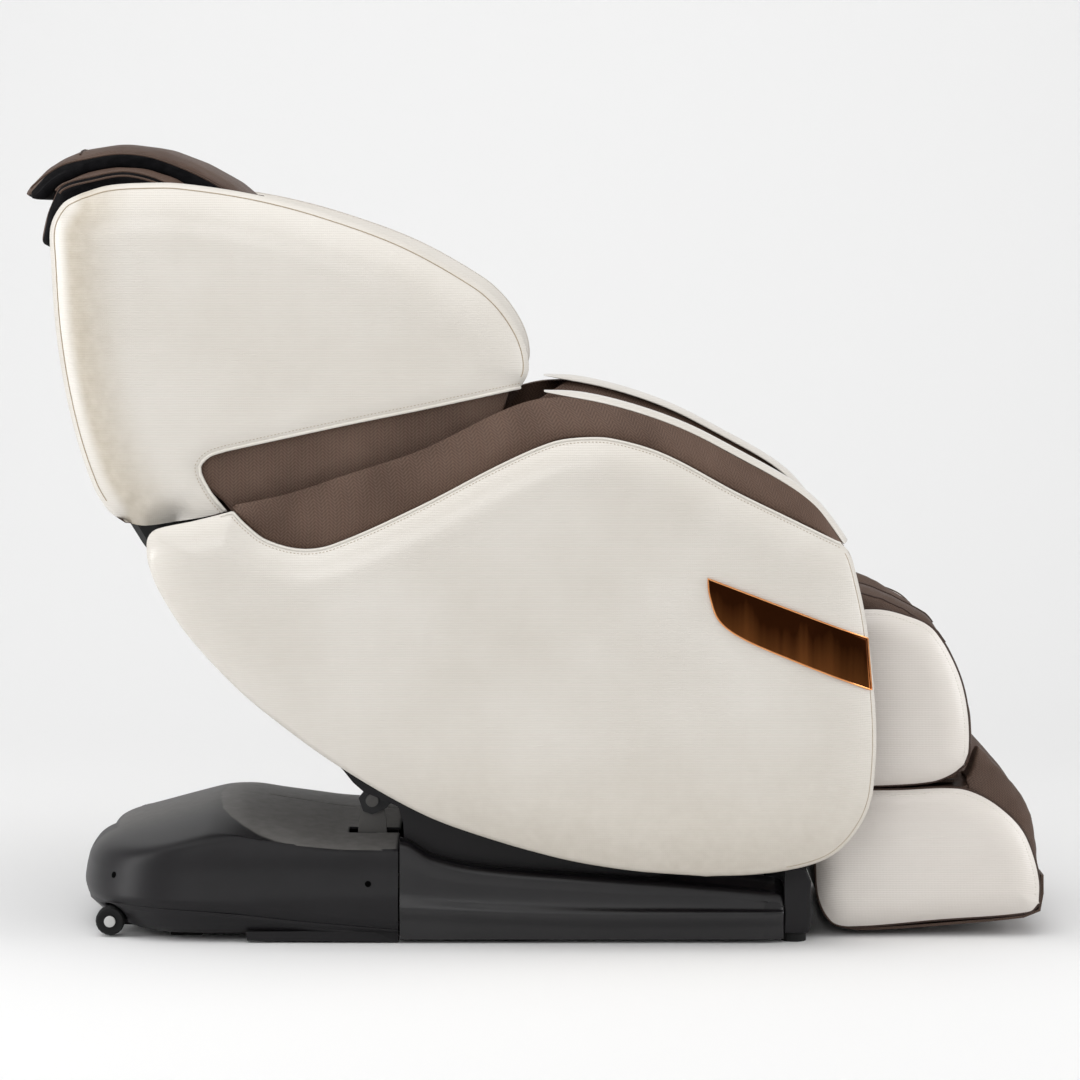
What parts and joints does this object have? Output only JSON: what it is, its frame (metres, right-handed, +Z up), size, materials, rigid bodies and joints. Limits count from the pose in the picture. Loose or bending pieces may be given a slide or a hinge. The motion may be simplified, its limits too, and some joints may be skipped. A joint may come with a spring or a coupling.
{
  "type": "massage chair",
  "caption": "Reclining massage chair with crowned arm shells, large side wings, padded seat, leg rest with wells, sliding base and a roller mechanism in the back.",
  "frame": {"origin": "on the floor, at the centre of the overall bounding box", "axes": "+X towards the front of the chair (the leg rest), +Y to the sitter's left, +Z up"},
  "size_m": [1.588, 0.79, 1.2199],
  "materials": {
    "ivory_leatherette": "pearl ivory leatherette with a fine emboss, satin",
    "brown_leatherette": "dark brown woven-look leatherette, satin",
    "brown_padding": "dark brown padded cover",
    "black_plastic": "satin black moulding",
    "grey_plastic": "dark grey moulding",
    "gloss_black": "polished black",
    "copper_brown": "glossy brown with a copper tint",
    "painted_steel": "black powder coat",
    "rubber": "matt black",
    "white_nylon": "off-white nylon"
  },
  "bodies": {
    "base": {"base_frame": "painted_steel", "rear_base_cover": "black_plastic", "side_cover_left": "black_plastic", "side_cover_right": "black_plastic", "front_foot_block": "black_plastic", "rear_tray": "black_plastic", "rear_pad_left": "rubber", "rear_pad_right": "rubber", "front_foot_left": "rubber", "front_foot_right": "rubber", "power_panel": "black_plastic", "control_box": "black_plastic"},
    "wheel_left": {"transport_wheel_left": "rubber"},
    "wheel_right": {"transport_wheel_right": "rubber"},
    "switch_rocker": {"power_switch": "gloss_black"},
    "carriage": {"slide_carriage": "painted_steel"},
    "seat": {"seat_frame": "painted_steel", "seat_skirt": "black_plastic", "seat_cushion": "brown_padding", "arm_shell_left": "ivory_leatherette", "arm_shell_right": "ivory_leatherette", "arm_band_left": "brown_leatherette", "arm_band_right": "brown_leatherette", "arm_top_left": "ivory_leatherette", "arm_top_right": "ivory_leatherette", "arm_lining_left": "brown_leatherette", "arm_lining_right": "brown_leatherette", "badge_left": "copper_brown", "badge_right": "copper_brown", "control_panel": "gloss_black", "leg_actuator": "grey_plastic", "recline_actuator": "grey_plastic"},
    "key": {"control_key": "grey_plastic"},
    "back": {"back_frame": "painted_steel", "back_cover": "black_plastic", "back_pad": "brown_padding", "wing_panel_left": "ivory_leatherette", "wing_panel_right": "ivory_leatherette", "wing_lining_left": "brown_leatherette", "wing_lining_right": "brown_leatherette", "wing_skirt_left": "brown_leatherette", "wing_skirt_right": "brown_leatherette"},
    "pillow": {"headrest_pillow": "brown_padding"},
    "massage_slider": {"massage_carriage": "grey_plastic"},
    "rocker_left": {"roller_arm_left": "grey_plastic"},
    "rocker_right": {"roller_arm_right": "grey_plastic"},
    "roller_ll": {"massage_roller_lower_left": "white_nylon"},
    "roller_ul": {"massage_roller_upper_left": "white_nylon"},
    "roller_lr": {"massage_roller_lower_right": "white_nylon"},
    "roller_ur": {"massage_roller_upper_right": "white_nylon"},
    "calf": {"calf_frame": "painted_steel", "calf_shell": "brown_leatherette", "calf_pad": "brown_padding", "calf_side_left": "ivory_leatherette", "calf_side_right": "ivory_leatherette"},
    "foot": {"foot_frame": "painted_steel", "foot_shell": "brown_leatherette", "foot_pad": "brown_padding", "foot_side_left": "ivory_leatherette", "foot_side_right": "ivory_leatherette"}
  },
  "joints": [
    {"name": "wheel_left_turn", "type": "hinge", "parent": "base", "child": "wheel_left", "pos_m": [-0.654, 0.238, 0.025], "axis": [0, 1, 0], "continuous": true},
    {"name": "wheel_right_turn", "type": "hinge", "parent": "base", "child": "wheel_right", "pos_m": [-0.654, -0.238, 0.025], "axis": [0, 1, 0], "continuous": true},
    {"name": "power_switch_rock", "type": "hinge", "parent": "base", "child": "switch_rocker", "pos_m": [-0.645, 0.1202, 0.133], "axis": [0, 1, 0], "range_deg": [-8, 8]},
    {"name": "seat_slide", "type": "slide", "parent": "base", "child": "carriage", "axis": [1, 0, 0], "range_m": [0, 0.14]},
    {"name": "seat_tilt", "type": "hinge", "parent": "carriage", "child": "seat", "pos_m": [-0.25, 0, 0.205], "axis": [0, -1, 0], "range_deg": [0, 15.01]},
    {"name": "back_recline", "type": "hinge", "parent": "seat", "child": "back", "pos_m": [-0.17, 0, 0.455], "axis": [0, -1, 0], "range_deg": [0, 35]},
    {"name": "leg_lift", "type": "hinge", "parent": "seat", "child": "calf", "pos_m": [0.415, 0, 0.49], "axis": [0, -1, 0], "range_deg": [0, 80]},
    {"name": "foot_extend", "type": "slide", "parent": "calf", "child": "foot", "axis": [0, 0, -1], "range_m": [0, 0.12]},
    {"name": "pillow_flip", "type": "hinge", "parent": "back", "child": "pillow", "pos_m": [-0.7635, 0, 1.132], "axis": [0, -1, 0], "range_deg": [0, 115]},
    {"name": "massage_travel", "type": "slide", "parent": "back", "child": "massage_slider", "axis": [-0.4848, 0, 0.8746], "range_m": [0, 0.35]},
    {"name": "roller_arm_left_rock", "type": "hinge", "parent": "massage_slider", "child": "rocker_left", "pos_m": [-0.34815, 0.0465, 0.53919], "axis": [0, -1, 0], "range_deg": [-7, 7]},
    {"name": "roller_arm_right_rock", "type": "hinge", "parent": "massage_slider", "child": "rocker_right", "pos_m": [-0.34815, -0.0465, 0.53919], "axis": [0, -1, 0], "range_deg": [-7, 7]},
    {"name": "roller_lower_left_turn", "type": "hinge", "parent": "rocker_left", "child": "roller_ll", "pos_m": [-0.28952, 0.069, 0.50766], "axis": [0, 1, 0], "continuous": true},
    {"name": "roller_upper_left_turn", "type": "hinge", "parent": "rocker_left", "child": "roller_ul", "pos_m": [-0.34381, 0.069, 0.60562], "axis": [0, 1, 0], "continuous": true},
    {"name": "roller_lower_right_turn", "type": "hinge", "parent": "rocker_right", "child": "roller_lr", "pos_m": [-0.28952, -0.069, 0.50766], "axis": [0, 1, 0], "continuous": true},
    {"name": "roller_upper_right_turn", "type": "hinge", "parent": "rocker_right", "child": "roller_ur", "pos_m": [-0.34381, -0.069, 0.60562], "axis": [0, 1, 0], "continuous": true},
    {"name": "control_key_press", "type": "slide", "parent": "seat", "child": "key", "axis": [0, 1, 0], "range_m": [0, 0.0012], "stiffness_N_per_m": 600, "springref_m": -0.001}
  ],
  "couplings": [
    {"joint": "seat_tilt", "follows": "seat_slide", "rad_per_m": 1.87},
    {"joint": "foot_extend", "follows": "leg_lift", "m_per_rad": 0.0859},
    {"joint": "roller_arm_right_rock", "follows": "roller_arm_left_rock", "ratio": -1}
  ]
}
